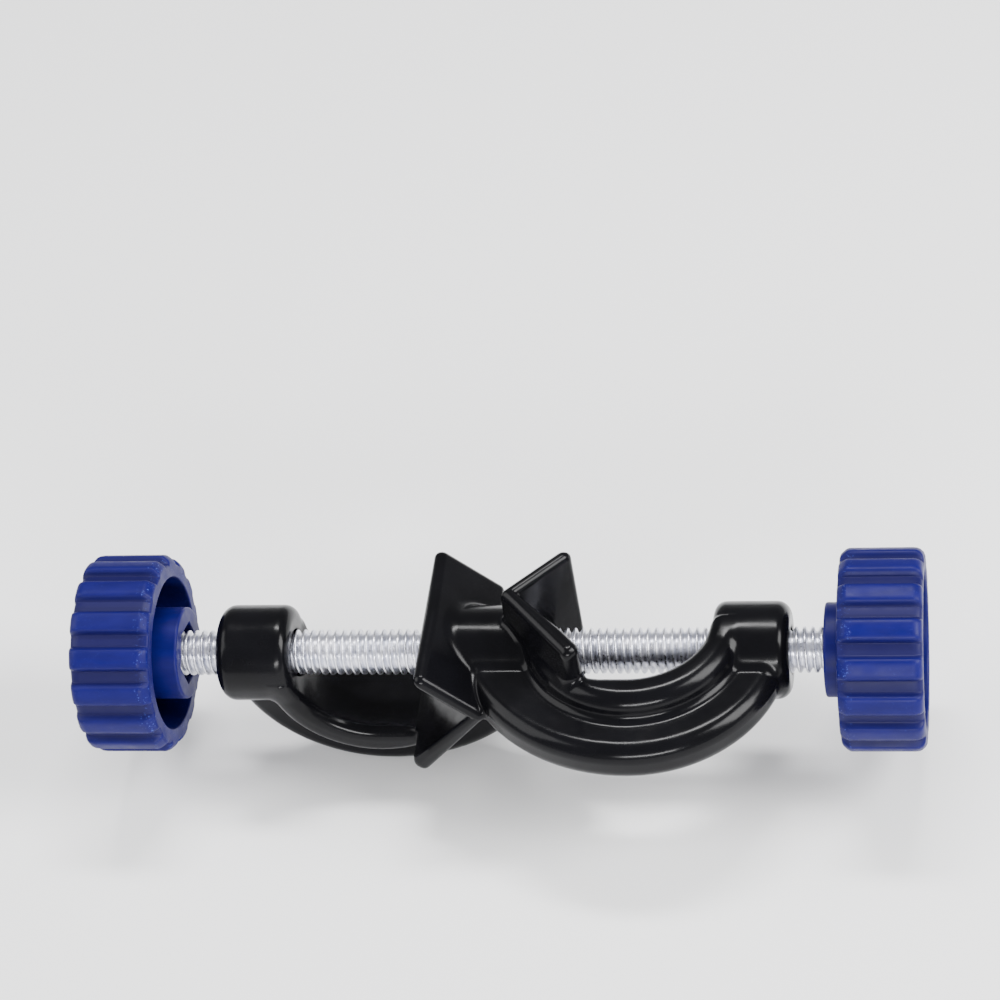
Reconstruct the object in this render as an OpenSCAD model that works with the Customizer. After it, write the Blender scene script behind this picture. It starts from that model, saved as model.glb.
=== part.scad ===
// Boss head clamp: one casting with two V-jaws at right angles, each closed by a knobbed screw.
// Millimetres. The origin is the middle of the stand-rod jaw's root line. The stand rod runs along Z,
// the cross rod along Y, and both screws along X: the stand-rod side is +X, the cross-rod side is -X.

/* [Jaws] */
// Length of each V-groove along its rod
jaw_len = 31; // [20:0.2:44]
// Wall of the V at its ends, measured square to the wall
jaw_wall = 2.4; // [1.6:0.1:4]
// Distance from one groove's root line to the other's, along the screws
root_gap = 8.8; // [7:0.2:14]
// Length of the free wall of each V, from the root along the groove's face
free_leg = 12.4; // [11.2:0.2:15]
// Extra wall that the arch side of each V gains towards its tip
leg_flare = 1.2; // [0:0.1:2.5]

/* [Arches] */
// Inner radius of each arch, at the boss
arch_r = 13.5; // [12:0.1:20]
// How far the centre of that radius lies above the screw's axis
arch_rise = 1.2; // [0:0.1:3]
// Straight stretch between the V and the arch's centre
arch_flat = 6.6; // [4:0.1:14]
// Width of the arch's inner flange, along the rod
flange_w = 16.4; // [12:0.2:20]
// Thickness of the inner flange
flange_t = 6.4; // [4:0.1:9]
// Radius on the flange's outer edges
flange_round = 2.2; // [0.5:0.1:2.8]
// Thickness of the rib that backs the flange
rib_w = 7.6; // [4:0.2:10]
// Height of that rib above the flange
rib_h = 7.5; // [3:0.1:9]
// Radius of the rib's sweep from the arch's crown to the middle of the clamp
rib_sweep = 32; // [26:0.5:45]

/* [Bosses and neck] */
// Diameter of the boss that each screw is tapped through
boss_d = 16.8; // [14:0.2:22]
// Length of the boss
boss_len = 12.5; // [8:0.5:20]
// Radius on the boss's edges
boss_round = 2.4; // [0.4:0.1:2.5]
// Wall between the arch's inside and the boss's inner end
boss_wall = 0.7; // [0.4:0.1:3]
// Diameter of the round neck that joins the two jaws back to back
neck_d = 16; // [12:0.2:16.2]

/* [Screws] */
// Outer diameter of the screw thread
screw_d = 7.94; // [6:0.01:10]
// Radial running clearance of the screw in its boss and in its knob
screw_fit = 0.05; // [0.02:0.01:0.1]
// Chamfer at the screw's tip
tip_chamfer = 1; // [0.4:0.1:1.6]
// Gap that stays between knob and boss when the screw's tip meets the V
hub_clear = 4.2; // [2:0.1:12]
// How far the cross-rod screw is backed off from the V at rest
left_back = 2.4; // [1:0.1:30]
// How far the stand-rod screw is backed off from the V at rest
right_back = 1.6; // [1:0.1:30]
// Length of screw that is held inside the knob
screw_hold = 11; // [8:0.5:13]

/* [Knobs] */
// Diameter over the knob's ridges
knob_d = 34.8; // [30:0.2:48]
// Width of the knob's rim
rim_w = 14.2; // [12:0.2:20]
// Number of ridges around the rim
ridge_n = 16; // [10:1:20]
// Radius of each ridge's rounded back
ridge_r = 2.1; // [1.6:0.1:2.6]
// Depth of the flutes between ridges
flute_deep = 1.05; // [0.6:0.05:1.5]
// Diameter of the recess in each face
recess_d = 27; // [23:0.5:29]
// Depth of the recess that faces the clamp
recess_in = 8; // [4:0.2:9]
// Depth of the recess in the outer face
recess_out = 2.4; // [1:0.1:3]
// Diameter of the hub that the screw comes out of
hub_d = 16.2; // [14:0.2:20]
// How far the hub stands out past the rim, towards the clamp
hub_out = 2.7; // [1:0.1:5]
// Size across the flats of the hexagonal pocket in the hub's end
hex_af = 9.6; // [9.4:0.1:12]
// Depth of the hexagonal pocket
hex_deep = 3; // [1:0.1:5]
// Turn of that pocket about the screw, against the ridges
hex_turn = 20; // [0:1:60]

/* [Hidden] */
$fn = 96;
joined = 0.5;                                  // overlap that fuses two shapes of one casting
half_jaw = jaw_len / 2;
arch_deep = arch_r - arch_rise;                // crown of the arch's inside, below the screw's axis
arch_x = arch_deep + arch_flat;                // centre of the arch
flange_r = arch_deep + flange_t;
rib_r = flange_r + rib_h;
boss_in = arch_x + arch_r + boss_wall;
boss_out = boss_in + boss_len;
bore_d = screw_d + 2 * screw_fit;
tip_r = screw_d / 2 - tip_chamfer;             // a 90 degree V meets the tip's edge this far from its root
screw_len = boss_out + hub_clear - tip_r;      // from the tip to the knob's hub
free_tip = free_leg / sqrt(2);
clear = jaw_len;                               // reach of the cuts, past every outer face

// Carries a shape of the stand-rod side (+X) to the cross-rod side (-X): a half turn that
// also swaps the two rods' directions.
module cross_rod_side() {
    translate([-root_gap, 0, 0]) rotate(180, [0, 1, 1]) children();
}

// A cylinder along X from x0 to x1.
module bar_x(x0, x1, d) {
    translate([x0, 0, 0]) rotate([0, 90, 0]) cylinder(h = x1 - x0, d = d);
}

// The space that the rod has, seen along the rod: the 90 degree V, then the inside of the arch.
module rod_space() {
    right = arch_x + arch_r;
    floor_line = [[arch_deep, -arch_deep], [arch_x, -arch_deep], [right, arch_rise]];
    polygon(concat([[0, 0]], floor_line, [[right, clear], [clear, clear]]));
    translate([arch_x, arch_rise]) circle(r = arch_r);
}

// The free wall of the V: an even wall with a rounded tip. The rod's space trims its inner face.
module free_wall() {
    round_at = free_leg - jaw_wall / 2;
    rotate(45) {
        translate([-jaw_wall, -joined]) square([round_at + jaw_wall, jaw_wall + joined]);
        translate([round_at, jaw_wall / 2]) circle(d = jaw_wall);
    }
}

// The arch side of the V: a wall that thickens towards the arch. The rod's space trims it too.
module arch_wall() {
    leg = arch_deep * sqrt(2);
    tip = jaw_wall + leg_flare;
    round_at = leg - tip / 2;
    rotate(-45) {
        polygon([[-jaw_wall, joined], [leg, joined], [leg, -tip / 2],
                 [round_at, -tip], [-jaw_wall, -jaw_wall]]);
        translate([round_at, -tip / 2]) circle(d = tip);
    }
}

// Section of the inner flange, for turning about the arch's centre: its outer edges are rounded.
module flange_section() {
    half = flange_w / 2;
    inner = arch_deep - joined;
    translate([inner, -half]) square([flange_r - flange_round - inner, flange_w]);
    translate([inner, flange_round - half]) square([flange_r - inner, flange_w - 2 * flange_round]);
    for (side = [-1, 1])
        translate([flange_r - flange_round, side * (half - flange_round)]) circle(r = flange_round);
}

// The flange runs from the V round the crown to the boss.
module flange() {
    translate([arch_x, 0, 0]) rotate([0, 0, 180]) rotate_extrude(angle = 180) flange_section();
}

// Outline of the rib: round from the boss to the crown, then a flatter sweep to the clamp's middle.
module rib_outline() {
    intersection() {
        translate([arch_x, 0]) circle(r = rib_r);
        translate([arch_x, -clear * 2]) square([rib_r, clear * 2]);
    }
    intersection() {
        translate([arch_x, rib_sweep - rib_r]) circle(r = rib_sweep);
        translate([-root_gap, -clear * 2]) square([root_gap + arch_x, clear * 2]);
    }
}

module rib() {
    translate([0, 0, -rib_w / 2]) linear_extrude(height = rib_w) rib_outline();
}

// The boss, turned about the screw's axis with rounded edges.
module boss() {
    r = boss_d / 2;
    rotate([0, 90, 0]) rotate_extrude() {
        translate([0, boss_in - boss_wall]) square([r - boss_round, boss_len + boss_wall]);
        translate([0, boss_in - boss_wall]) square([r, boss_len + boss_wall - boss_round]);
        translate([r - boss_round, boss_out - boss_round]) circle(r = boss_round);
    }
}

// Everything solid on one side of the clamp, before the rods' spaces are cut.
module arm() {
    translate([0, 0, -half_jaw]) linear_extrude(height = jaw_len) {
        free_wall();
        arch_wall();
    }
    flange();
    rib();
    boss();
}

// The cuts of one side: the rod's space, and the bore that the screw runs in.
module arm_cuts() {
    translate([0, 0, -clear]) linear_extrude(height = 2 * clear) rod_space();
    bar_x(arch_x, boss_out + joined, bore_d);
}

module casting() {
    color("#2a2a2f") difference() {
        union() {
            arm();
            cross_rod_side() arm();
            bar_x(-root_gap - free_tip, free_tip, neck_d);
        }
        arm_cuts();
        cross_rod_side() arm_cuts();
    }
}

// The screw, drawn on the stand-rod side: a plain round of the thread's outer size.
module screw(back) {
    tip = tip_r + back;
    end = tip + screw_len + screw_hold;
    color("silver") rotate([0, 90, 0]) rotate_extrude()
        polygon([[0, tip], [tip_r, tip], [screw_d / 2, tip + tip_chamfer], [screw_d / 2, end], [0, end]]);
}

// Outline of the fluted rim, seen along the screw.
module rim_outline() {
    circle(r = knob_d / 2 - flute_deep);
    for (i = [0 : ridge_n - 1])
        rotate(i * 360 / ridge_n) translate([knob_d / 2 - ridge_r, 0]) circle(r = ridge_r);
}

// The knob, drawn on the stand-rod side: a fluted rim, a web and a hub with a hexagonal pocket.
module knob(back) {
    hub_x = tip_r + back + screw_len;
    rim_x = hub_x + hub_out;
    color("#1f4e9c") translate([hub_x, 0, 0]) rotate([0, 90, 0]) difference() {
        union() {
            translate([0, 0, rim_x - hub_x]) difference() {
                linear_extrude(height = rim_w) rim_outline();
                translate([0, 0, -joined]) cylinder(h = recess_in + joined, d = recess_d);
                translate([0, 0, rim_w - recess_out]) cylinder(h = recess_out + joined, d = recess_d);
            }
            cylinder(h = hub_out + recess_in + joined, d = hub_d);
        }
        translate([0, 0, -joined]) rotate(hex_turn)
            cylinder(h = hex_deep + joined, d = hex_af / cos(30), $fn = 6);
        translate([0, 0, -joined]) cylinder(h = screw_hold + screw_fit + joined, d = bore_d);
    }
}

module left_screw() {
    cross_rod_side() screw(left_back);
}

module right_screw() {
    screw(right_back);
}

module left_knob() {
    cross_rod_side() knob(left_back);
}

module right_knob() {
    knob(right_back);
}

casting();
left_screw();
right_screw();
left_knob();
right_knob();
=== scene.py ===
# %% [markdown]
# # A boss head clamp
#
# A boss head joins two laboratory rods at a right angle. One cast body has two V-shaped jaws, back to
# back and a quarter turn apart. From each V an arch runs round to a boss, and a screw with a fluted
# plastic knob comes through that boss to press a rod into the V. The casting is coated in gloss black
# enamel, the screws are zinc-plated steel, and the knobs are moulded in ultramarine plastic.
#
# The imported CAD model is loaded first. It gives the places of the five solids. Everything that is built
# below lies in the same frame, in metres: the stand rod runs along Z, the cross rod along Y and both
# screws along X.

# %% Load the frame
import math

import bpy
import numpy as np
from mathutils import Matrix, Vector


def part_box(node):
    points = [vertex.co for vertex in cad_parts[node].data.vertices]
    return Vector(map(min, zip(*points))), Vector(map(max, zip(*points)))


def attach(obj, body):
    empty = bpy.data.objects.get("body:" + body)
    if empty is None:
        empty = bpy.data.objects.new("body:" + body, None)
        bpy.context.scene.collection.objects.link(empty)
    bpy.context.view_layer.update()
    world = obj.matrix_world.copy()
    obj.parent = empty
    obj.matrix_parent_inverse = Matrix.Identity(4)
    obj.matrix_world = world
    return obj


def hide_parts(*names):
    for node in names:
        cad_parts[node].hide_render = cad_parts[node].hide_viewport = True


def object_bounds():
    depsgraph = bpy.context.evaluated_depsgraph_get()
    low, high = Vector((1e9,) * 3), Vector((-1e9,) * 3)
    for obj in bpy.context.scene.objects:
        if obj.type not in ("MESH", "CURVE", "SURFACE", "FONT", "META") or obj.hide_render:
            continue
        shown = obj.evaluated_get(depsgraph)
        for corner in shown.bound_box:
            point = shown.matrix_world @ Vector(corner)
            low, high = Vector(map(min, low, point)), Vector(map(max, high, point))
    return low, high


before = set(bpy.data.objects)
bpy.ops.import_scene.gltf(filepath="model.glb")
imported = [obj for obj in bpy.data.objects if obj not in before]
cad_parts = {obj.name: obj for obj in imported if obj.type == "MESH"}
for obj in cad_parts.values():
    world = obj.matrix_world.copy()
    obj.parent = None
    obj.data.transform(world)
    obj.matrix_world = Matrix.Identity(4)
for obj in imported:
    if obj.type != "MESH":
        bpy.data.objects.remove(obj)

MM = 0.001
cad_box = [list(corner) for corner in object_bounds()]
print("CAD box in millimetres:", [[round(v / MM, 1) for v in corner] for corner in cad_box])

# %% [markdown]
# ## The camera
#
# The clamp is seen from above and in front, with the camera stepped a little towards the stand-rod
# side, through a long lens. A long lens from half a metre keeps the two knobs nearly the same size.
# The camera's place follows from a few facts: the middle of the clamp between the two jaws, the
# elevation, the side step and the distance. It is then tipped up a little, so that the clamp sits in
# the lower half of a square picture.

# %% Camera
ROOT_GAP = 8.8                                   # from one V's root line to the other's, along the screws
CLAMP_MIDDLE = np.array([-ROOT_GAP / 2, 0, 0])
ELEVATION, SIDE_STEP = math.radians(48.7), math.radians(10.3)
ROLL, TIP_UP = math.radians(-0.29), math.radians(2.93)
DISTANCE = 510.0                                 # from the clamp's middle, in millimetres
AIM = (-0.62, 0.18)                              # small offsets of the camera, right and up
LENS, SENSOR = 105.6, 36.0                       # focal length and sensor width
NEAR, FAR = 0.01, 20                             # what the camera sees, in metres


def turn(first, second, angle):
    """The two axes turned in their own plane: each is cos(angle) of itself plus or minus sin(angle) of
    the other."""
    c, s = math.cos(angle), math.sin(angle)
    return first * c + second * s, second * c - first * s


ce, se = math.cos(ELEVATION), math.sin(ELEVATION)
cs, ss = math.cos(SIDE_STEP), math.sin(SIDE_STEP)
rightward = np.array([cs, ce * ss, -se * ss])    # the side step is taken about the picture's own upright
upward = np.array([0, se, ce])
backward = np.array([ss, -ce * cs, se * cs])     # from the clamp to the camera
rightward, upward = turn(rightward, upward, ROLL)
place = CLAMP_MIDDLE + DISTANCE * backward + AIM[0] * rightward + AIM[1] * upward
upward, backward = turn(upward, backward, TIP_UP)

camera = bpy.data.objects.new("camera", bpy.data.cameras.new("camera"))
bpy.context.scene.collection.objects.link(camera)
pose = np.eye(4)
pose[:3, :3] = np.column_stack([rightward, upward, backward])
pose[:3, 3] = place * MM
camera.matrix_world = Matrix(pose.tolist())
camera.data.lens, camera.data.sensor_width = LENS, SENSOR
camera.data.clip_start, camera.data.clip_end = NEAR, FAR
bpy.context.scene.camera = camera
print("camera at", np.round(place, 1), "mm")

# %% [markdown]
# ## From arrays to meshes
#
# Every piece is worked out as whole numpy arrays: points in millimetres, faces as rows of point
# numbers, and a normal for each point taken from the same formula as the shape. Normals from the
# formula matter on a gloss surface, because a reflection shows any unevenness in them long before the
# outline does. One function turns such arrays into an object at the origin.

# %% Mesh helpers
def add_piece(name, points, faces, normals, body, stands_for, material):
    """A mesh object from points (mm), faces and unit normals, which rides on a CAD body and stands for
    one CAD node."""
    mesh = bpy.data.meshes.new(name)
    mesh.from_pydata((points * MM).tolist(), [], faces)
    mesh.validate()
    mesh.shade_smooth()
    mesh.normals_split_custom_set_from_vertices(normals.tolist())
    mesh.materials.append(material)
    piece = bpy.data.objects.new(name, mesh)
    bpy.context.scene.collection.objects.link(piece)
    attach(piece, body)
    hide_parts(stands_for)
    triangles = sum(len(face) - 2 for face in faces)
    print(f"{name}: {len(points)} points, {triangles} triangles")
    return piece


def unit(vectors):
    """Each row divided by its own length."""
    return vectors / np.maximum(np.linalg.norm(vectors, axis=-1, keepdims=True), 1e-12)


def to_cross_rod_side(points):
    """The half turn that carries the stand-rod side to the cross-rod side and swaps the two rods'
    directions: (x, y, z) becomes (-gap - x, z, y)."""
    return np.stack([-ROOT_GAP - points[..., 0], points[..., 2], points[..., 1]], axis=-1)


def turn_normals(normals):
    """The same half turn for directions: (x, y, z) becomes (-x, z, y)."""
    return np.stack([-normals[..., 0], normals[..., 2], normals[..., 1]], axis=-1)


# %% [markdown]
# ## Colours and nodes
#
# Colours are written as sRGB hex values, as a paint chart would give them, and one function turns them
# to the linear light values that shaders work in. One more function adds a node, sets what it is told,
# links the inputs that are given as sockets, and hands back an output for the next node to use. A noise
# texture's scale counts patches in each metre, so it is one over the patch's size.

# %% Colour and node helpers
def srgb(code):
    """Linear RGBA from a hex colour: below 0.04045 divided by 12.92, and above it the 2.4 power law."""
    value = np.array([int(code[i:i + 2], 16) for i in (1, 3, 5)]) / 255
    linear = np.where(value <= 0.04045, value / 12.92, ((value + 0.055) / 1.055) ** 2.4)
    return (*linear.tolist(), 1.0)


def add_node(tree, kind, inputs, output=0, **settings):
    """A node of that kind with its settings. An input given as a socket is linked, and any other is set.
    What comes back is the output with that name or number, or the node itself where it has no outputs."""
    node = tree.nodes.new(kind)
    for key, value in settings.items():
        setattr(node, key, value)
    for key, value in inputs.items():
        if isinstance(value, bpy.types.NodeSocket):
            tree.links.new(value, node.inputs[key])
        else:
            node.inputs[key].default_value = value
    return node.outputs[output] if node.outputs else node


def start_material(name):
    """An empty node material, its tree, and the place of each point in the object's own metres."""
    material = bpy.data.materials.new(name)
    material.use_nodes = True
    tree = material.node_tree
    tree.nodes.clear()
    return material, tree, add_node(tree, "ShaderNodeTexCoord", {}, "Object")


# A colour mix has its share as input 0, its two colours as inputs 6 and 7, and its result as output 2.
SHARE, FIRST, SECOND, MIXED = 0, 6, 7, 2

# %% [markdown]
# ## Gloss black enamel
#
# The casting is coated in stoving enamel and baked. The coat flows before it hardens, so it rounds every
# edge and dries with a high gloss and a faint orange peel: shallow waves a few millimetres apart, with a
# finer ripple on them. A Principled shader with a near-black colour and a low roughness gives the gloss.
# Two noises at the waves' real sizes drive the bump, a third varies the roughness slightly, as dust and
# handling do, and a fourth varies the tone. An enamel's index of refraction is about 1.5, but over a wide
# pale floor that would turn the whole lower side grey. The value here is lower, so that the black stays
# black and only the lights show in it.

# %% Enamel
def make_enamel():
    """Near-black enamel with two scales of orange peel."""
    material, tree, place = start_material("gloss black stoving enamel")
    cloud = add_node(tree, "ShaderNodeTexNoise", {"Vector": place, "Scale": 1 / (9.0 * MM)})
    tone = add_node(tree, "ShaderNodeMapRange", {"Value": cloud, "From Min": 0.35, "From Max": 0.65})
    colour = add_node(tree, "ShaderNodeMix", {
        SHARE: tone, FIRST: srgb("#08080a"), SECOND: srgb("#0b0b0e")}, MIXED, data_type="RGBA")
    waves = add_node(tree, "ShaderNodeTexNoise", {"Vector": place, "Scale": 1 / (3.2 * MM), "Detail": 1.0})
    ripple = add_node(tree, "ShaderNodeTexNoise", {"Vector": place, "Scale": 1 / (0.9 * MM), "Detail": 1.0})
    first = add_node(tree, "ShaderNodeBump", {"Height": waves, "Strength": 0.22, "Distance": 0.12 * MM})
    second = add_node(tree, "ShaderNodeBump", {
        "Height": ripple, "Strength": 0.12, "Distance": 0.03 * MM, "Normal": first})
    dust = add_node(tree, "ShaderNodeTexNoise", {"Vector": place, "Scale": 1 / (5.0 * MM), "Detail": 4.0})
    roughness = add_node(tree, "ShaderNodeMapRange", {
        "Value": dust, "From Min": 0.3, "From Max": 0.7, "To Min": 0.14, "To Max": 0.23})
    shader = add_node(tree, "ShaderNodeBsdfPrincipled", {
        "Base Color": colour, "Roughness": roughness, "IOR": 1.22, "Normal": second})
    add_node(tree, "ShaderNodeOutputMaterial", {"Surface": shader})
    return material


enamel = make_enamel()
print(f"{enamel.name}: {len(enamel.node_tree.nodes)} nodes")

# %% [markdown]
# ## The casting as a field of distances
#
# The casting is one flowing shape: walls, arches, ribs and bosses run into each other through fillets,
# and every outer edge is rounded. Joining separate surfaces with such fillets is hard, but a signed
# distance field makes it natural. Each simple shape is a function that gives, for any point, roughly
# how far it is from the surface, negative inside. The smaller of two distances joins two shapes, the
# larger keeps what they share, and a small change to either gives the edge a fillet or a round.

# %% Distance rules
def fillet_join(a, b, radius):
    """Union with a fillet: where both distances are under the radius, the surface follows a circle of
    that radius, by the length of the two shortfalls."""
    short_a, short_b = np.maximum(radius - a, 0), np.maximum(radius - b, 0)
    return np.maximum(radius, np.minimum(a, b)) - np.hypot(short_a, short_b)


def rounded_meet(a, b, radius):
    """Intersection whose edge is a round of that radius, by the length of the two overshoots."""
    over_a, over_b = np.maximum(radius + a, 0), np.maximum(radius + b, 0)
    return np.minimum(-radius, np.maximum(a, b)) + np.hypot(over_a, over_b)


# %% [markdown]
# The sizes below are the CAD model's own, in millimetres. The draft and the rounds are those of a real
# casting, fuller than the CAD model's. Each shape is written for the stand-rod side, whose screw points
# along X: x runs along the screw, z along the rod, and y across both.

# %% Sizes of the casting
HALF_JAW = 15.5                                  # half the length of each V, along its rod
WALL, WALL_DRAFT = 2.38, 0.03                    # the V's wall at its ends, and its gain per mm inward
WALL_FLARE = 1.2                                 # what the V's arch side gains towards its tip
FREE_LEG = 12.4                                  # the V's free side, from root to tip
ARCH_R, ARCH_RISE = 13.5, 1.2                    # the arch's inside, and its centre above the screw's axis
ARCH_FLAT = 6.6                                  # straight floor between the V and the arch's centre
ARCH_DEEP = ARCH_R - ARCH_RISE                   # that floor, below the screw's axis
ARCH_X = ARCH_DEEP + ARCH_FLAT                   # the arch's centre
ARCH_LEG = ARCH_DEEP * math.sqrt(2)              # the V's arch side, from root to tip
FLANGE_DEEP, FLANGE_HALF = 6.4, 8.2              # the inner flange's thickness and half width
FLANGE_R = ARCH_DEEP + FLANGE_DEEP
RIB_HIGH, RIB_HALF, RIB_SWEEP = 7.5, 3.8, 32.0   # above the flange, half as thick, and its flatter radius
RIB_R = FLANGE_R + RIB_HIGH
BOSS_R, BOSS_WALL, BOSS_LONG = 8.4, 0.7, 12.5    # radius, wall inside the arch's end, and length
BOSS_IN = ARCH_X + ARCH_R
BOSS_OUT = BOSS_IN + BOSS_WALL + BOSS_LONG
NECK_R, BORE_R = 8.0, 4.02
NECK_HALF = ROOT_GAP / 2 + FREE_LEG / math.sqrt(2)
PAST = 1.5                                       # how far a shape runs on into what is cut away
print(f"boss from {BOSS_IN + BOSS_WALL:.1f} to {BOSS_OUT:.1f} mm along the screw")

# %% [markdown]
# A casting's edges are all rounded and its corners filled, because a sharp edge of the mould would crumble
# and a sharp corner would crack as the metal cools. The rounds on the inside grow from the V towards the
# arch, where the metal is thicker.

# %% Rounds and fillets of the casting
V_ROUND, CORNER_ROUND, EDGE_ROUND = 1.2, 1.6, 1.5    # the V's outer corner, its plates' corners and edges
FLANGE_ROUND, RIB_ROUND, BOSS_ROUND, BORE_ROUND = 3.1, 3.0, 2.4, 0.35
ARM_FILLET, RIB_FILLET, CROSS_FILLET = 1.0, 1.8, 0.8  # within an arm, beside the rib, between the arms
INNER_ROUND, ROUND_GROWTH = 1.1, 1.2             # the rod's space: its edges at the V, and what they gain
GROWTH_START, GROWTH_LONG = ARCH_DEEP - 4, 6.0   # where along the screw that gain starts, and over what

# %% [markdown]
# Now the shapes themselves. Each is a distance that is right close to the surface, which is all that the
# joining rules need.

# %% Shapes of the casting
def rod_space(x, y):
    """The space for the rod, seen along it: inside both faces of the 90 degree V, and within the arch's
    radius of a quadrant whose corner is the arch's centre, which gives a straight floor and a round end."""
    wedge = np.maximum(y - x, -y - x) / math.sqrt(2)
    over, under = x - ARCH_X, ARCH_RISE - y
    outside = np.hypot(np.maximum(over, 0), np.maximum(under, 0))
    hall = outside + np.minimum(np.maximum(over, under), 0) - ARCH_R
    return np.maximum(wedge, hall)


def jaw(x, y, z):
    """The V as a block with its outer faces square to each other: the rod's space hollows it later. The
    wall is thinnest at its two ends, by the draft, and the arch side flares towards its tip."""
    along_free, along_arch = (x + y) / math.sqrt(2), (x - y) / math.sqrt(2)
    wall = WALL + (HALF_JAW - np.abs(z)) * WALL_DRAFT
    flare = WALL_FLARE * np.clip(along_arch / ARCH_LEG, 0, 1)
    faces = rounded_meet(-along_arch - wall, -along_free - wall - flare, V_ROUND)
    tips = np.maximum(along_free - FREE_LEG, along_arch - ARCH_LEG)
    rim = rounded_meet(tips, np.abs(z) - HALF_JAW, CORNER_ROUND)
    return rounded_meet(faces, rim, EDGE_ROUND)


def flange(x, y, z):
    """The arch's inner flange: a disc about the arch's centre with well rounded edges, its lower half."""
    around = np.hypot(x - ARCH_X, y) - FLANGE_R
    return np.maximum(rounded_meet(around, np.abs(z) - FLANGE_HALF, FLANGE_ROUND), y)


def rib(x, y, z):
    """The rib that backs the flange: a round from the boss to the crown, then a flatter sweep to the
    middle of the clamp."""
    crown = np.hypot(x - ARCH_X, y) - RIB_R
    sweep = np.hypot(x - ARCH_X, y - (RIB_SWEEP - RIB_R)) - RIB_SWEEP
    outline = np.where(x > ARCH_X, crown, sweep)
    edge = rounded_meet(outline, np.abs(z) - RIB_HALF, RIB_ROUND)
    return np.maximum(edge, np.maximum(y, -ROOT_GAP - x))


def boss(x, y, z):
    """The round boss about the screw, with rounded edges."""
    ends = np.maximum(BOSS_IN - PAST - x, x - BOSS_OUT)
    return rounded_meet(np.hypot(y, z) - BOSS_R, ends, BOSS_ROUND)


def arm(x, y, z):
    """Everything solid on one side of the clamp, joined with fillets."""
    solid = fillet_join(jaw(x, y, z), flange(x, y, z), ARM_FILLET)
    solid = fillet_join(solid, rib(x, y, z), RIB_FILLET)
    return fillet_join(solid, boss(x, y, z), ARM_FILLET)


def casting(x, y, z):
    """Both arms and the neck, less the two rods' spaces and the two bores."""
    sides = ((x, y, z), (-ROOT_GAP - x, z, y))
    solid = fillet_join(arm(*sides[0]), arm(*sides[1]), CROSS_FILLET)
    neck = np.maximum(np.hypot(y, z) - NECK_R, np.abs(x + ROOT_GAP / 2) - NECK_HALF)
    solid = fillet_join(solid, neck, ARM_FILLET)
    for px, py, _ in sides:
        growth = np.clip((px - GROWTH_START) / GROWTH_LONG, 0, 1)
        solid = rounded_meet(solid, -rod_space(px, py), INNER_ROUND + ROUND_GROWTH * growth)
    for px, py, pz in sides:
        bore = np.maximum(np.hypot(py, pz) - BORE_R, ARCH_X - px)
        solid = rounded_meet(solid, -bore, BORE_ROUND)
    return solid


# %% [markdown]
# ## From the field to a surface
#
# The field is sampled on a cubic grid, and a surface net is drawn through it: each cell that the
# surface crosses gets one point, the mean of the places where its edges cross, and each crossed edge of
# the grid gets one four-sided face that joins the four cells round it. The points are then moved along
# the field's slope until the field there is zero, so they lie on the true surface, and the slope also
# gives each point's normal.

# %% Points of the net
CELL_CORNERS = np.array([[i, j, k] for i in (0, 1) for j in (0, 1) for k in (0, 1)])


def net_points(values, cells):
    """One point in each cell, counted in cells from the grid's corner: the mean of the places where the
    field crosses zero on the cell's twelve edges, each found by proportion between the edge's ends."""
    total, count = np.zeros((len(cells), 3)), np.zeros(len(cells))
    for axis in range(3):
        for corner in CELL_CORNERS[CELL_CORNERS[:, axis] == 0]:
            start = cells + corner
            a = values[tuple(start.T)].astype(float)
            b = values[tuple((start + np.eye(3, dtype=int)[axis]).T)].astype(float)
            crossed = (a < 0) != (b < 0)
            share = np.where(crossed, a / np.where(crossed, a - b, 1), 0)
            total += (corner + share[:, None] * np.eye(3)[axis]) * crossed[:, None]
            count += crossed
    return cells + total / count[:, None]


# %% [markdown]
# A face must be wound so that it looks outwards. Where the field goes from inside to outside along the
# edge, the ring of four cells is taken one way round, and where it comes back in, the other way.

# %% Faces of the net
def net_faces(inside, number):
    """One four-sided face round each crossed edge of the grid, from the numbers of its four cells."""
    faces = []
    for axis in range(3):
        second, third = (axis + 1) % 3, (axis + 2) % 3
        first_side, other_side = np.delete(inside, -1, axis), np.delete(inside, 0, axis)
        edges = np.argwhere(first_side != other_side)
        leaving = first_side[tuple(edges.T)]
        ring = []
        for back_second, back_third in ((1, 1), (0, 1), (0, 0), (1, 0)):
            cell = edges.copy()
            cell[:, second] -= back_second
            cell[:, third] -= back_third
            ring.append(number[tuple(cell.T)])
        quad = np.stack(ring, axis=1)
        faces.append(np.where(leaving[:, None], quad, quad[:, ::-1]))
    return np.concatenate(faces)


# %% [markdown]
# The field's slope comes from its values a small reach to each side. A point moves by the field's value
# divided by the slope's length, along the slope, and never more than half a cell at a time.

# %% Settle the points
PASSES = 4                                       # times that the points are moved onto the surface
REACH = 0.02
LEAST_SLOPE = 0.1                                # least squared slope, where two shapes' slopes cancel out


def slope(field, points):
    """The field's gradient: the difference of its values on both sides along each axis, over the
    distance between them."""
    sides = []
    for shift in np.eye(3) * REACH:
        sides.append((field(*(points + shift).T) - field(*(points - shift).T)) / (2 * REACH))
    return np.stack(sides, axis=1)


def settle(field, points, step):
    """The points moved onto the surface where the field is zero."""
    for _ in range(PASSES):
        gradient = slope(field, points)
        steepness = np.maximum((gradient ** 2).sum(1, keepdims=True), LEAST_SLOPE)
        move = field(*points.T)[:, None] * gradient / steepness
        points = points - np.clip(move, -step / 2, step / 2)
    return points


# %% [markdown]
# With these three steps, the casting is one call. Its grid covers the CAD node's box and a little more.

# %% Build the casting
STEP = 0.42
OFF_GRID = 0.13                                  # keeps the grid's planes off the casting's flat faces


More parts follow.
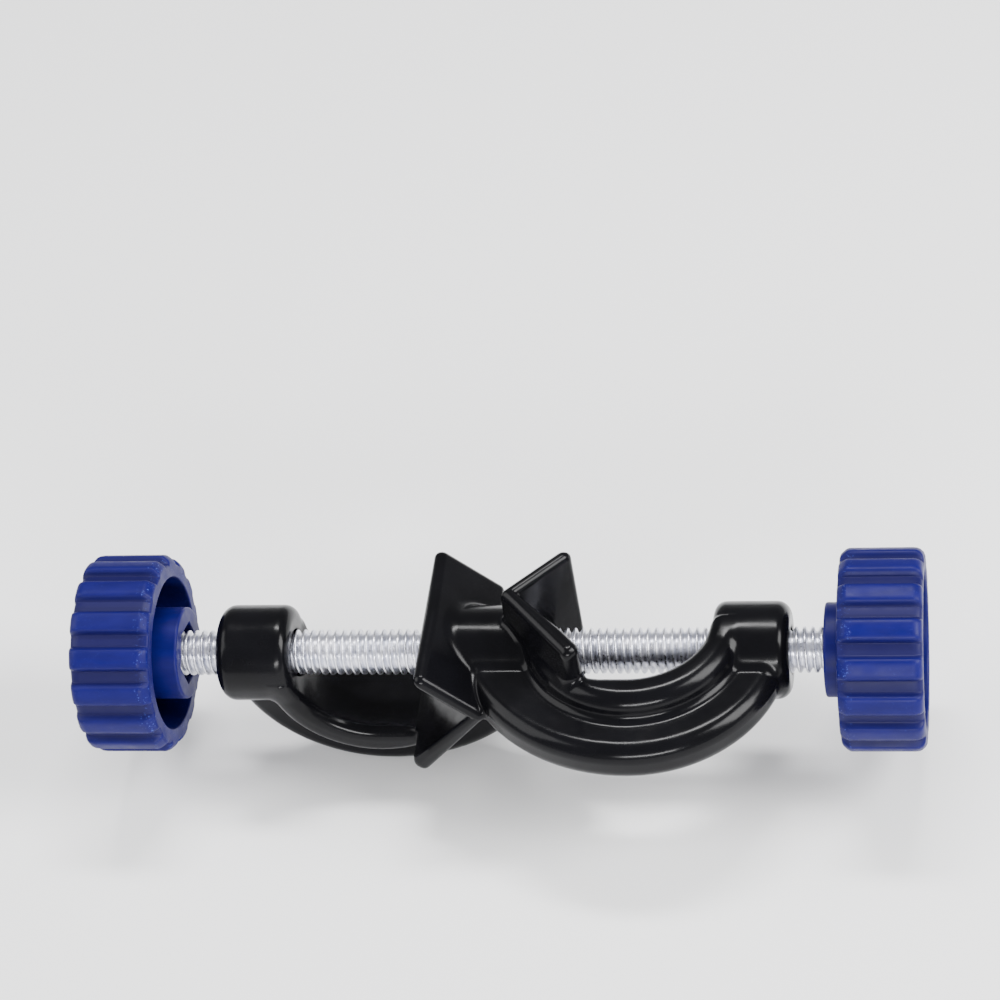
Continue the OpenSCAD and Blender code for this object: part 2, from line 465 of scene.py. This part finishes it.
def surface_net(field, low, high, step):
    """Points, four-sided faces and normals of the surface where the field is zero."""
    axes = [np.arange(a, b + step, step) for a, b in zip(low, high)]
    values = field(*np.meshgrid(*axes, indexing="ij", sparse=True)).astype(np.float32)
    inside = values < 0
    size = np.array(values.shape) - 1
    held = sum(inside[i:i + size[0], j:j + size[1], k:k + size[2]].astype(np.int8)
               for i, j, k in CELL_CORNERS)
    cells = np.argwhere((held > 0) & (held < 8))
    number = np.full(size, -1)
    number[tuple(cells.T)] = np.arange(len(cells))
    points = settle(field, np.array(low) + net_points(values, cells) * step, step)
    return points, net_faces(inside, number), unit(slope(field, points))


low, high = (np.array(corner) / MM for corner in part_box("casting"))
points, faces, normals = surface_net(casting, low - 2 * STEP - OFF_GRID, high + 2 * STEP, STEP)
add_piece("enamelled_casting", points, faces.tolist(), normals, "casting", "casting", enamel)
print("casting spans", np.round(points.min(0), 2), "to", np.round(points.max(0), 2), "mm")
print("the CAD's spans", np.round(low, 2), "to", np.round(high, 2), "mm")

# %% [markdown]
# ## Zinc-plated steel
#
# The screws are rolled steel with a bright zinc plating. The metal is light with a slight blue cast, and
# the plating is a little matt and grainy, so highlights are broad and broken up. A metallic Principled
# shader takes its tint and its roughness from noise at the size of the plating's crystals, drawn a
# little coarser than life so that it shows.

# %% Zinc
def make_zinc():
    """Bright zinc: a metal with a grainy bump and a patchy tint."""
    material, tree, place = start_material("zinc plated rolled steel")
    grain = add_node(tree, "ShaderNodeTexNoise", {
        "Vector": place, "Scale": 1 / (0.35 * MM), "Detail": 3.0, "Roughness": 0.65})
    cloud = add_node(tree, "ShaderNodeTexNoise", {"Vector": place, "Scale": 1 / (2.2 * MM), "Detail": 3.0})
    patches = add_node(tree, "ShaderNodeMapRange", {"Value": cloud, "From Min": 0.35, "From Max": 0.65})
    colour = add_node(tree, "ShaderNodeMix", {
        SHARE: patches, FIRST: srgb("#d3d5e0"), SECOND: srgb("#ececf2")}, MIXED, data_type="RGBA")
    bump = add_node(tree, "ShaderNodeBump", {"Height": grain, "Strength": 0.35, "Distance": 0.05 * MM})
    roughness = add_node(tree, "ShaderNodeMapRange", {
        "Value": grain, "From Min": 0.3, "From Max": 0.7, "To Min": 0.22, "To Max": 0.42})
    shader = add_node(tree, "ShaderNodeBsdfPrincipled", {
        "Base Color": colour, "Metallic": 1.0, "Roughness": roughness, "Normal": bump})
    add_node(tree, "ShaderNodeOutputMaterial", {"Surface": shader})
    return material


zinc = make_zinc()
print(f"{zinc.name}: {len(zinc.node_tree.nodes)} nodes")

# %% [markdown]
# ## The screws
#
# Each screw has a rolled 5/16-18 thread, 7.94 mm across with a pitch of 1.411 mm, right-handed. It is a
# surface of two parameters, the place along the screw and the angle about it. The radius rises and
# falls once each pitch, and that wave is carried round by one pitch a turn, which is what makes a
# helix. Near both ends the radius is also held under a cone, for the chamfer.

# %% Screws
PITCH, THREAD_R, THREAD_DEEP = 25.4 / 18, 3.97, 0.8
TIP_R = 2.97                                     # the flat tip's radius, inside its chamfer
HUB_CLEAR = 4.2                                  # what stays between knob and boss with the tip in the V
SCREW_FREE = BOSS_OUT + HUB_CLEAR - TIP_R        # from the tip to the knob's hub
SCREW_HELD = 11.0                                # inside the knob
RIGHT_BACK, LEFT_BACK = 1.6, 2.4                 # how far each screw stands off its V
CREST_EDGE, FLANK = 0.43, 0.35                   # shares of the pitch: where a flank ends, and its width
SCREW_COLUMNS, ROWS_PER_PITCH, END_ROUND = 64, 14, 0.12


def thread_radius(along, angle):
    """Root radius plus the depth times a smooth step: 1 on the crest, 0 in the root, by the distance
    from the crest as a share of the pitch."""
    phase = np.mod(along / PITCH - angle / (2 * math.pi), 1)
    rise = np.clip((CREST_EDGE - np.abs(phase - 0.5)) / FLANK, 0, 1)
    return THREAD_R - THREAD_DEEP + THREAD_DEEP * rise * rise * (3 - 2 * rise)


def round_faces(rows, columns):
    """Faces of a closed tube of rows by columns, with a point before the first row and one after the
    last that close its two ends."""
    ring = np.arange(columns)
    here = np.arange(rows - 1)[:, None] * columns
    after = np.roll(ring, -1)
    quads = np.stack([here + ring, here + after, here + columns + after, here + columns + ring], axis=-1)
    first, last = rows * columns, rows * columns + 1
    start = np.stack([np.full(columns, first), after, ring], axis=-1)
    final = (rows - 1) * columns
    end = np.stack([final + ring, final + after, np.full(columns, last)], axis=-1)
    return quads.reshape(-1, 4).tolist() + start.tolist() + end.tolist()


def round_points(along, radius, angle):
    """Points at that place along X and that radius, with the angle counted from -Z towards +Y."""
    return np.stack([along + 0 * angle, radius * np.sin(angle), -radius * np.cos(angle)], axis=-1)


def screw(name, back, other_side):
    """The threaded surface as a grid of rows along the screw and columns round it. Its normals are the
    cross product of the grid's two slopes."""
    tip, length = TIP_R + back, SCREW_FREE + SCREW_HELD
    between = np.arange(END_ROUND, length - END_ROUND, PITCH / ROWS_PER_PITCH)
    rows = np.concatenate([[0, END_ROUND / 3], between, [length - END_ROUND / 3, length]])
    cone = np.minimum(np.minimum(THREAD_R, TIP_R + rows), TIP_R + (length - rows))
    cone[[0, -1]] -= END_ROUND
    angle = np.arange(SCREW_COLUMNS) * 2 * math.pi / SCREW_COLUMNS
    radius = np.minimum(cone[:, None], thread_radius(tip + rows[:, None], angle[None, :]))
    grid = round_points(tip + rows[:, None], radius, angle[None, :])
    around = (np.roll(grid, -1, 1) - np.roll(grid, 1, 1)) / 2
    facing = unit(np.cross(around, np.gradient(grid, axis=0)))
    points = np.concatenate([grid.reshape(-1, 3), [[tip, 0, 0], [tip + length, 0, 0]]])
    normals = np.concatenate([facing.reshape(-1, 3), [[-1, 0, 0], [1, 0, 0]]])
    if other_side:
        points, normals = to_cross_rod_side(points), turn_normals(normals)
    faces = round_faces(*grid.shape[:2])
    return add_piece(name + "_thread", points, faces, normals, name, name, zinc)


screw("right_screw", RIGHT_BACK, False)
screw("left_screw", LEFT_BACK, True)

# %% [markdown]
# ## Ultramarine moulded plastic
#
# The knobs are injection moulded in a solid blue plastic, such as ABS. The surface is smooth but not
# polished, so it has a soft sheen. The colour is even, with faint flow marks that run along the knob
# from the gate. The flutes' floors are painted greyer than the ridges: a painted sheen, for the grey that
# their matt floors reflect. The edges at the open end are painted lighter, partly as real scuffs and
# partly as painted glints where the scuffs catch the light. Both places are marked on the mesh by
# attributes, and noise breaks the scuffs and their glints up into specks.
# ABS has an index of refraction of about 1.5, and the value here is lower for the enamel's reason: a wide
# pale floor would wash the blue out.

# %% Plastic
def make_plastic():
    """Solid blue plastic with a painted sheen on the flute floors, and scuffed edges with painted glints."""
    material, tree, place = start_material("ultramarine moulded ABS")
    along = add_node(tree, "ShaderNodeMapping", {"Vector": place, "Scale": (0.25, 1, 1)})
    streaks = add_node(tree, "ShaderNodeTexNoise", {"Vector": along, "Scale": 1 / (1.6 * MM), "Detail": 3.0})
    flow = add_node(tree, "ShaderNodeMapRange", {"Value": streaks, "From Min": 0.35, "From Max": 0.65})
    ridge = add_node(tree, "ShaderNodeMix", {
        SHARE: flow, FIRST: srgb("#07044a"), SECOND: srgb("#090552")}, MIXED, data_type="RGBA")
    # Painted sheen: the flute floors are painted greyer, for the grey that their matt floors reflect.
    flute = add_node(tree, "ShaderNodeAttribute", {}, "Fac", attribute_name="flute_floor_sheen")
    body = add_node(tree, "ShaderNodeMix", {
        SHARE: flute, FIRST: ridge, SECOND: srgb("#110e3e")}, MIXED, data_type="RGBA")
    # Scuffed edges with painted glints: lighter specks, partly real scuffs and partly painted highlights.
    mark = add_node(tree, "ShaderNodeAttribute", {}, "Fac", attribute_name="edge_wear_and_glint")
    grit = add_node(tree, "ShaderNodeTexNoise", {
        "Vector": place, "Scale": 1 / (0.45 * MM), "Detail": 4.0, "Roughness": 0.7})
    specks = add_node(tree, "ShaderNodeMapRange", {"Value": grit, "From Min": 0.60, "From Max": 0.70})
    scuff_and_glint = add_node(tree, "ShaderNodeMath", {0: mark, 1: specks}, operation="MULTIPLY")
    colour = add_node(tree, "ShaderNodeMix", {
        SHARE: scuff_and_glint, FIRST: body, SECOND: srgb("#4a5cc0")}, MIXED, data_type="RGBA")
    fine = add_node(tree, "ShaderNodeTexNoise", {"Vector": place, "Scale": 1 / (0.5 * MM)})
    bump = add_node(tree, "ShaderNodeBump", {"Height": fine, "Strength": 0.10, "Distance": 0.03 * MM})
    chips = add_node(tree, "ShaderNodeBump", {
        "Height": scuff_and_glint, "Strength": 0.5, "Distance": 0.12 * MM, "Normal": bump})
    sheen = add_node(tree, "ShaderNodeTexNoise", {"Vector": place, "Scale": 1 / (2.5 * MM), "Detail": 3.0})
    roughness = add_node(tree, "ShaderNodeMapRange", {
        "Value": sheen, "From Min": 0.3, "From Max": 0.7, "To Min": 0.40, "To Max": 0.52})
    shader = add_node(tree, "ShaderNodeBsdfPrincipled", {
        "Base Color": colour, "Roughness": roughness, "IOR": 1.25, "Normal": chips})
    add_node(tree, "ShaderNodeOutputMaterial", {"Surface": shader})
    return material


plastic = make_plastic()
print(f"{plastic.name}: {len(plastic.node_tree.nodes)} nodes")

# %% [markdown]
# ## The knobs
#
# A knob is a round body with sixteen ridges on its rim, a deep recess that faces the clamp, a shallow
# one outside, and a hub with a hexagonal pocket round the screw. All of this is one profile carried round
# the screw's axis. Each corner of the profile is a short quadratic curve, which gives every moulded edge
# its small round. Two further numbers travel along the profile: how much of the ridges and how much of
# the hexagon is added to the radius there.

# %% Knobs
KNOB_R, RIDGES, RIDGE_HIGH, RIDGE_HALF = 17.4, 16, 1.3, 2.0
RIM, OPEN_CHAMFER = 14.2, 1.3                    # width of the rim, and the chamfer at its open end
RECESS_R, RECESS_IN, RECESS_OUT = 13.5, 8.0, 2.4     # both recesses' radius, and how deep each is
HUB_R, HUB_OUT = 8.1, 2.7                        # the hub, and how far it stands out past the rim
HEX_HALF, POCKET_DEEP, HELD_DEEP = 4.8, 3.0, 11.05   # the pocket's half width and depth, the bore's depth
RIDGE_MIDDLE = KNOB_R - 0.8                      # the radius where a ridge's width is measured
FLUTE_R = KNOB_R - RIDGE_HIGH
RECESS_FLOOR, OUTER_FLOOR, OUTER_FACE = HUB_OUT + RECESS_IN, HUB_OUT + RIM - RECESS_OUT, HUB_OUT + RIM
HEX_TURN = math.radians(20)
COLUMNS = 480
FLOOR_WEAR_AND_GLINT = 0.35                                # how much of the edge's scuffing and painted glint a flute's floor gets, beside a ridge

# Corners: place along the screw from the hub's face, radius, share of the ridges, share of the hexagon,
# size of the corner's round, and the share of edge scuffing with its painted glint.
CORNERS = np.array([
    [HELD_DEEP, 0.0, 0, 0, 0.0, 0],
    [HELD_DEEP, BORE_R, 0, 0, 0.2, 0],
    [POCKET_DEEP, BORE_R, 0, 0, 0.15, 0],
    [POCKET_DEEP, HEX_HALF, 0, 1, 0.2, 0],
    [0.0, HEX_HALF, 0, 1, 0.25, 0],
    [0.0, HUB_R, 0, 0, 0.5, 0],
    [RECESS_FLOOR, HUB_R, 0, 0, 0.7, 0],
    [RECESS_FLOOR, RECESS_R, 0, 0, 0.8, 0],
    [HUB_OUT, RECESS_R, 0, 0, 0.3, 0.3],
    [HUB_OUT, FLUTE_R - 0.35, 0.4, 0, 0.4, 0.6],
    [HUB_OUT + OPEN_CHAMFER, FLUTE_R, 1, 0, 0.5, 1.0],
    [HUB_OUT + 2.9, FLUTE_R, 1, 0, 0.3, 0],
    [OUTER_FACE, FLUTE_R, 1, 0, 1.9, 0.1],
    [OUTER_FACE, RECESS_R, 0, 0, 0.5, 0],
    [OUTER_FLOOR, RECESS_R, 0, 0, 0.6, 0],
    [OUTER_FLOOR, 0.0, 0, 0, 0.0, 0]])


def rounded_profile(corners, steps=6):
    """The profile with each corner replaced by a quadratic curve that starts and ends the round's size
    away from it, and the profile's direction at each point. All columns but the round's size travel
    along it."""
    path = np.delete(corners, 4, axis=1)
    leg = np.diff(path, axis=0)
    length = np.hypot(leg[:, 0], leg[:, 1])[:, None]
    size = corners[1:-1, 4:5]
    start = path[1:-1] - leg[:-1] * np.minimum(size / length[:-1], 0.49)
    end = path[1:-1] + leg[1:] * np.minimum(size / length[1:], 0.49)
    u = np.linspace(0, 1, steps)[None, :, None]
    a, c, b = start[:, None], path[1:-1, None], end[:, None]
    places = (1 - u) ** 2 * a + 2 * u * (1 - u) * c + u ** 2 * b
    direction = (1 - u) * (c - a) + u * (b - c)
    return places.reshape(-1, path.shape[1]), direction.reshape(-1, path.shape[1])


def ridge_height(angle):
    """How far the ridges stand above the flute floor: a flat-topped bump with rounded shoulders, one
    minus the fifth power of the distance from the ridge's middle, under a 2.4th root."""
    part = 2 * math.pi / RIDGES
    away = (np.mod(angle + part / 2, part) - part / 2) * RIDGE_MIDDLE / RIDGE_HALF
    return RIDGE_HIGH * np.clip(1 - np.abs(away) ** 5, 0, 1) ** (1 / 2.4)


def hexagon(angle):
    """How much further a hexagon's side lies than its flats: half the width across the flats divided by
    the cosine of the angle from the nearest flat, less that half width. A corner lies at HEX_TURN."""
    from_flat = np.mod(angle - HEX_TURN, math.pi / 3) - math.pi / 6
    return HEX_HALF / np.cos(from_flat) - HEX_HALF


def knob(name, back, turned, other_side):
    """The profile carried round the axis. The radius is the profile's, plus its share of the ridges and
    of the hexagon, and the normals are the cross product of the slopes round and along. The ridges
    stand turned by that angle."""
    hub = TIP_R + back + SCREW_FREE
    places, direction = rounded_profile(CORNERS)
    angle = (np.arange(COLUMNS) * 2 * math.pi / COLUMNS)[None, :]
    shapes = [ridge_height(angle - turned), hexagon(angle)]
    radius = places[:, 1:2] + places[:, 2:3] * shapes[0] + places[:, 3:4] * shapes[1]
    rise = direction[:, 1:2] + direction[:, 2:3] * shapes[0] + direction[:, 3:4] * shapes[1]
    grid = round_points(hub + places[:, :1], radius, angle)
    outward = round_points(0 * rise, 1 + 0 * rise, angle)
    along = outward * rise[..., None] + np.array([1.0, 0, 0]) * direction[:, :1, None]
    around = np.roll(grid, -1, 1) - np.roll(grid, 1, 1)
    facing = unit(np.cross(around, along))
    ends = [[hub + CORNERS[0, 0], 0, 0], [hub + CORNERS[-1, 0], 0, 0]]
    points = np.concatenate([grid.reshape(-1, 3), ends])
    normals = np.concatenate([facing.reshape(-1, 3), [[-1, 0, 0], [1, 0, 0]]])
    if other_side:
        points, normals = to_cross_rod_side(points), turn_normals(normals)
    faces = round_faces(*grid.shape[:2])
    piece = add_piece(name + "_moulding", points, faces, normals, name, name, plastic)
    on_ridge = np.clip(shapes[0] / RIDGE_HIGH, 0, 1)
    # Where the edges get their scuffs and painted glints: fully on a ridge, less on a flute's floor.
    wear_and_glint = places[:, 4:5] * (FLOOR_WEAR_AND_GLINT + (1 - FLOOR_WEAR_AND_GLINT) * on_ridge)
    # Where the flute floors get their painted sheen: all of a flute's floor on the rim, none on a ridge.
    flute = places[:, 2:3] * (1 - on_ridge)
    for label, value in (("edge_wear_and_glint", wear_and_glint), ("flute_floor_sheen", flute)):
        mark = piece.data.attributes.new(label, "FLOAT", "POINT")
        mark.data.foreach_set("value", np.append(value.ravel(), [0, 0]).astype(np.float32))
    return piece


RIGHT_TURNED, LEFT_TURNED = math.radians(7.6), 0.0
knob("right_knob", RIGHT_BACK, RIGHT_TURNED, False)
knob("left_knob", LEFT_BACK, LEFT_TURNED, True)

# %% [markdown]
# ## The studio
#
# The clamp rests just on a plain pale floor. Gloss black shows little but what it reflects, so the
# lights' shapes are what draws its edges. A broad softbox at each side puts a glint on the rounded ends
# of the bosses. A long narrow one high above draws a thin line along each arch, and it stands well above
# the camera's mirror direction in a level face, so that the flat faces stay black. A low narrow one in
# front lights the ribs. The world is pale at the horizon and greyer above, which gives the screws their
# bright and dark bands. The floor is matt, because a glossy one would mirror the clamp.

# %% Floor
def make_floor():
    """Matt paper with hardly any change of tone."""
    material, tree, place = start_material("matt pale paper")
    cloud = add_node(tree, "ShaderNodeTexNoise", {"Vector": place, "Scale": 1 / (400.0 * MM)})
    tone = add_node(tree, "ShaderNodeMix", {
        SHARE: cloud, FIRST: srgb("#f1f1f2"), SECOND: srgb("#f4f4f4")}, MIXED, data_type="RGBA")
    shader = add_node(tree, "ShaderNodeBsdfPrincipled", {"Base Color": tone, "Roughness": 0.9})
    add_node(tree, "ShaderNodeOutputMaterial", {"Surface": shader})
    return material


FLOOR_HALF = 3.0                                 # metres
signs = ((-1, -1), (1, -1), (1, 1), (-1, 1))
floor_corners = [(x * FLOOR_HALF, y * FLOOR_HALF, cad_box[0][2]) for x, y in signs]
floor_mesh = bpy.data.meshes.new("floor")
floor_mesh.from_pydata(floor_corners, [], [(0, 1, 2, 3)])
floor_mesh.materials.append(make_floor())
floor = bpy.data.objects.new("floor", floor_mesh)
bpy.context.scene.collection.objects.link(floor)
print(f"floor at {cad_box[0][2] / MM:.1f} mm, where the clamp's lowest point is")


# %% Lights
def softbox(name, azimuth, elevation, distance, size, power):
    """A rectangular area light that faces the clamp from that azimuth (0 is +X, 90 is +Y) and elevation in
    degrees. The distance and the size are in metres and the power in watts."""
    a, e = math.radians(azimuth), math.radians(elevation)
    away = np.array([math.cos(a) * math.cos(e), math.sin(a) * math.cos(e), math.sin(e)])
    data = bpy.data.lights.new(name, "AREA")
    data.shape, data.size, data.size_y, data.energy = "RECTANGLE", size[0], size[1], power
    light = bpy.data.objects.new(name, data)
    side = unit(np.cross([0, 0, 1], away))
    facing = np.eye(4)
    facing[:3, :3] = np.column_stack([side, np.cross(away, side), away])
    facing[:3, 3] = CLAMP_MIDDLE * MM + away * distance
    light.matrix_world = Matrix(facing.tolist())
    bpy.context.scene.collection.objects.link(light)
    print(f"{name}: {power} W, {size[0]} by {size[1]} m")


softbox("left light", 190, 38, 0.75, (0.60, 0.55), 5)
softbox("right light", -8, 38, 0.75, (0.32, 0.50), 10)
softbox("back light", 86, 70, 0.85, (0.40, 0.10), 7)
softbox("front light", -80, 20, 0.85, (0.50, 0.08), 7)

# %% World
LOW_SKY, HIGH_SKY = 0.05, 0.35                   # heights on a sphere of radius 1
LOW_GLOW, HIGH_GLOW = 0.8, 0.40                  # how strongly the world shines at those heights
world = bpy.data.worlds.new("studio")
world.use_nodes = True
sky = world.node_tree
direction = add_node(sky, "ShaderNodeTexCoord", {}, "Generated")
height = add_node(sky, "ShaderNodeSeparateXYZ", {"Vector": direction}, "Z")
background = sky.nodes["Background"]
background.inputs["Color"].default_value = srgb("#f6f7fa")
glow = add_node(sky, "ShaderNodeMapRange", {
    "Value": height, "From Min": LOW_SKY, "From Max": HIGH_SKY, "To Min": LOW_GLOW, "To Max": HIGH_GLOW})
sky.links.new(glow, background.inputs["Strength"])
bpy.context.scene.world = world
print(f"world: strength {LOW_GLOW} at the horizon, {HIGH_GLOW} above")
